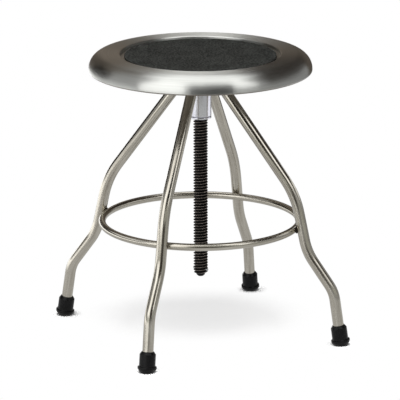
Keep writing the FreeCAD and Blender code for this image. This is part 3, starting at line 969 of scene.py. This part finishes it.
# a level that eases from one (distance, level) pair to another
def easeBetween(tree, near, far, value):
    return addNode(tree, "ShaderNodeMapRange", {
        "interpolation_type": "SMOOTHSTEP", "From Min": near[0] * mm, "From Max": far[0] * mm,
        "To Min": near[1], "To Max": far[1], "Value": value})


# white for the camera, and the given level for reflections
def cameraOr(tree, rays, level):
    return addNode(tree, "ShaderNodeMix", {
        "data_type": "FLOAT", "A": level, "B": 1.0, "Factor": rays["Is Camera Ray"]})


def makeFloor():
    material, tree = newMaterial("studio floor")
    where = addNode(tree, "ShaderNodeTexCoord").outputs["Object"]
    away = addNode(tree, "ShaderNodeVectorMath", {"operation": "LENGTH", 0: where})
    # the stool's shade shows in a soft oval patch, a little behind its middle
    patch = addNode(tree, "ShaderNodeMapping", {
        "vector_type": "TEXTURE", "Vector": where,
        "Location": headingPoint(90, studio["shadeAside"]) + headingPoint(180, studio["shadeBack"]),
        "Rotation": (0, 0, math.radians(camera["azimuth"])), "Scale": (1, studio["shadeDepth"], 1)})
    fromMiddle = addNode(tree, "ShaderNodeVectorMath", {"operation": "LENGTH", 0: patch})
    shadeNear, shadeFar = studio["shadeReach"]
    fade = easeBetween(tree, (shadeNear, studio["shadeLevel"]), (shadeFar, 1.0), fromMiddle)
    # round each tip the paper shows plain, so the tip's own soft shadow stays on it
    moved = addNode(tree, "ShaderNodeVectorMath", {
        "operation": "SUBTRACT", 0: where, 1: headingPoint(90, studio["tipShadowAside"])})
    folded = addNode(tree, "ShaderNodeVectorMath", {"operation": "ABSOLUTE", 0: moved})
    sides = addNode(tree, "ShaderNodeSeparateXYZ", {0: folded}).outputs
    longer = addNode(tree, "ShaderNodeMath", {"operation": "MAXIMUM", 0: sides["X"], 1: sides["Y"]})
    shorter = addNode(tree, "ShaderNodeMath", {"operation": "MINIMUM", 0: sides["X"], 1: sides["Y"]})
    spot = addNode(tree, "ShaderNodeCombineXYZ", {"X": longer, "Y": shorter})
    fromTip = addNode(tree, "ShaderNodeVectorMath", {
        "operation": "DISTANCE", 0: spot, 1: (legs["foot"] * mm, 0, 0)})
    tipNear, tipFar = studio["tipShadow"]
    tipFade = easeBetween(tree, (tipNear, 0.0), (tipFar, 1.0), fromTip)
    clear = addNode(tree, "ShaderNodeMath", {"operation": "MINIMUM", 0: fade, 1: tipFade})
    rays = addNode(tree, "ShaderNodeLightPath").outputs
    seen = addNode(tree, "ShaderNodeMath", {"operation": "MULTIPLY", 0: rays["Is Camera Ray"], 1: clear})
    share = addNode(tree, "ShaderNodeMath", {"operation": "MAXIMUM", 0: seen, 1: rays["Is Glossy Ray"]})
    mirrored = easeBetween(tree, studio["glossNear"], studio["glossFar"], away)
    shaded = easeBetween(tree, studio["underSeat"], studio["beside"], away)
    level = addNode(tree, "ShaderNodeMath", {"operation": "MULTIPLY", 0: mirrored, 1: shaded})
    paper = addNode(tree, "ShaderNodeBsdfDiffuse", {"Color": fromHex(studio["floor"])})
    glow = addNode(tree, "ShaderNodeEmission", {"Strength": cameraOr(tree, rays, level)})
    above = addNode(tree, "ShaderNodeMixShader", {0: share, 1: paper, 2: glow})
    side = addNode(tree, "ShaderNodeNewGeometry").outputs["Backfacing"]
    below = addNode(tree, "ShaderNodeBsdfTransparent")
    whole = addNode(tree, "ShaderNodeMixShader", {0: side, 1: above, 2: below})
    addNode(tree, "ShaderNodeOutputMaterial", {"Surface": whole})
    half = studio["floorHalf"] * mm
    corners = [(-half, -half, 0), (half, -half, 0), (half, half, 0), (-half, half, 0)]
    mesh = bpy.data.meshes.new("floor")
    mesh.from_pydata(corners, [], [(0, 1, 2, 3)])
    obj = newObject("floor", mesh)
    paint(obj, material)


def makeWorld():
    world = bpy.data.worlds.new("studio")
    scene.world = world
    world.use_nodes = True
    tree = world.node_tree
    tree.nodes.clear()
    rays = addNode(tree, "ShaderNodeLightPath").outputs
    dull = addNode(tree, "ShaderNodeMix", {
        "data_type": "FLOAT", "A": studio["worldLight"], "B": studio["glossWorld"],
        "Factor": rays["Is Glossy Ray"]})
    sky = addNode(tree, "ShaderNodeBackground", {
        "Color": fromHex("#ffffff"), "Strength": cameraOr(tree, rays, dull)})
    addNode(tree, "ShaderNodeOutputWorld", {"Surface": sky})


makeFloor()
makeWorld()

# heading, distance and height of each lamp, its width and length, and its power
lamps = {
    "overhead": (0.0, 400.0, 2500.0, 1500.0, 1500.0, 75.0),
    "leftPanel": (-62.0, 2400.0, 1300.0, 1300.0, 2000.0, 22.0),
    "rightPanel": (75.0, 2600.0, 1300.0, 1100.0, 2000.0, 12.0),
}
# upright curved cards: the headings of their two sides, distance, lower and upper edge, shade and glow
cards = {
    "leftWindow": (-62.0, -15.0, 1500.0, 0.0, 2950.0, "#ffffff", 1.8),
    "topWindow": (-15.0, 6.0, 1500.0, 1850.0, 2950.0, "#ffffff", 1.7),
    "seatFront": (-7.0, 23.0, 300.0, 390.0, 575.0, "#0d0c0b", 1.0),
    "frontDark": (-9.0, 30.0, 800.0, 190.0, 1040.0, "#46413b", 1.0),
    "greyLeft": (-54.0, -8.0, 700.0, 150.0, 285.0, "#bebfb8", 1.0),
    "greyRight": (29.0, 74.0, 700.0, 150.0, 285.0, "#bebfb8", 1.0),
    "hubFront": (-10.0, 32.0, 320.0, 278.0, 366.0, "#bebfb8", 1.0),
    "hubRight": (81.0, 126.0, 320.0, 278.0, 366.0, "#ffffff", 1.1),
    "hubLeft": (-101.0, -58.0, 320.0, 278.0, 366.0, "#ffffff", 1.05),
    "rightWindow": (35.0, 60.0, 1500.0, 840.0, 2950.0, "#ffffff", 1.9),
    "rightDark": (72.0, 176.0, 1500.0, 820.0, 2950.0, "#38332f", 1.0),
    "farRight": (138.0, 176.0, 1500.0, 90.0, 820.0, "#5c554d", 1.0),
    "leftDark": (-163.0, -116.0, 1500.0, 1250.0, 2800.0, "#6a6259", 1.0),
    "leftRim": (-163.0, -140.0, 1500.0, 270.0, 1250.0, "#544d46", 1.0),
    "leftEdge": (-140.0, -104.0, 1500.0, 270.0, 1250.0, "#151311", 1.0),
    "backDark": (176.0, 197.0, 1500.0, 120.0, 1250.0, "#7c7268", 1.0),
    "leftTable": (-170.0, -66.0, 1400.0, 0.0, 250.0, "#ffffff", 2.0),
}
# arches of light that rise behind the stool and come over it: how many degrees their two ends stand above
# the horizon behind, distance, width, how far aside, and glow
canopies = {
    "canopy": (69.0, 130.0, 2200.0, 2200.0, 0.0, 1.7),
    "backStrip": (38.0, 69.0, 2200.0, 800.0, 60.0, 1.45),
}


def makeLamp(name, heading, distance, height, width, length, power):
    data = bpy.data.lights.new(name, "AREA")
    data.shape = "RECTANGLE"
    data.size, data.size_y = width * mm, length * mm
    data.energy = power
    obj = newObject(name, data)
    obj.location = headingPoint(heading, distance, height)
    away = obj.location - Vector((0, 0, studio["lampAim"] * mm))
    obj.rotation_euler = away.to_track_quat("Z", "Y").to_euler()
    obj.visible_camera = False
    obj.visible_glossy = False


# a strip of card from a list of point pairs
def makeCard(name, pairs, shade, strength):
    faces = [(2 * i, 2 * i + 2, 2 * i + 3, 2 * i + 1) for i in range(len(pairs) - 1)]
    mesh = bpy.data.meshes.new(name)
    mesh.from_pydata([point for pair in pairs for point in pair], [], faces)
    obj = newObject(name, mesh)
    obj.visible_camera = False
    obj.visible_diffuse = False
    obj.visible_shadow = False
    material, tree = newMaterial(name)
    glow = addNode(tree, "ShaderNodeEmission", {"Color": fromHex(shade), "Strength": strength})
    addNode(tree, "ShaderNodeOutputMaterial", {"Surface": glow})
    paint(obj, material)


def evenSteps(first, last):
    count = max(2, round((last - first) / studio["cardStep"]))
    return [first + (last - first) * i / count for i in range(count + 1)]


for name, sizes in lamps.items():
    makeLamp(name, *sizes)
for name, (first, last, distance, low, high, shade, glow) in cards.items():
    makeCard(name, [[headingPoint(heading, distance, height) for height in (low, high)]
                    for heading in evenSteps(first, last)], shade, glow)
for name, (first, last, distance, width, aside, glow) in canopies.items():
    arch = []
    for lift in evenSteps(first, last):
        back, up = distance * math.cos(math.radians(lift)), distance * math.sin(math.radians(lift))
        middle = headingPoint(180, back, studio["archMiddle"] + up)
        arch.append([middle + headingPoint(90, aside + side * width / 2) for side in (-1, 1)])
    makeCard(name, arch, "#ffffff", glow)
print("studio ready")
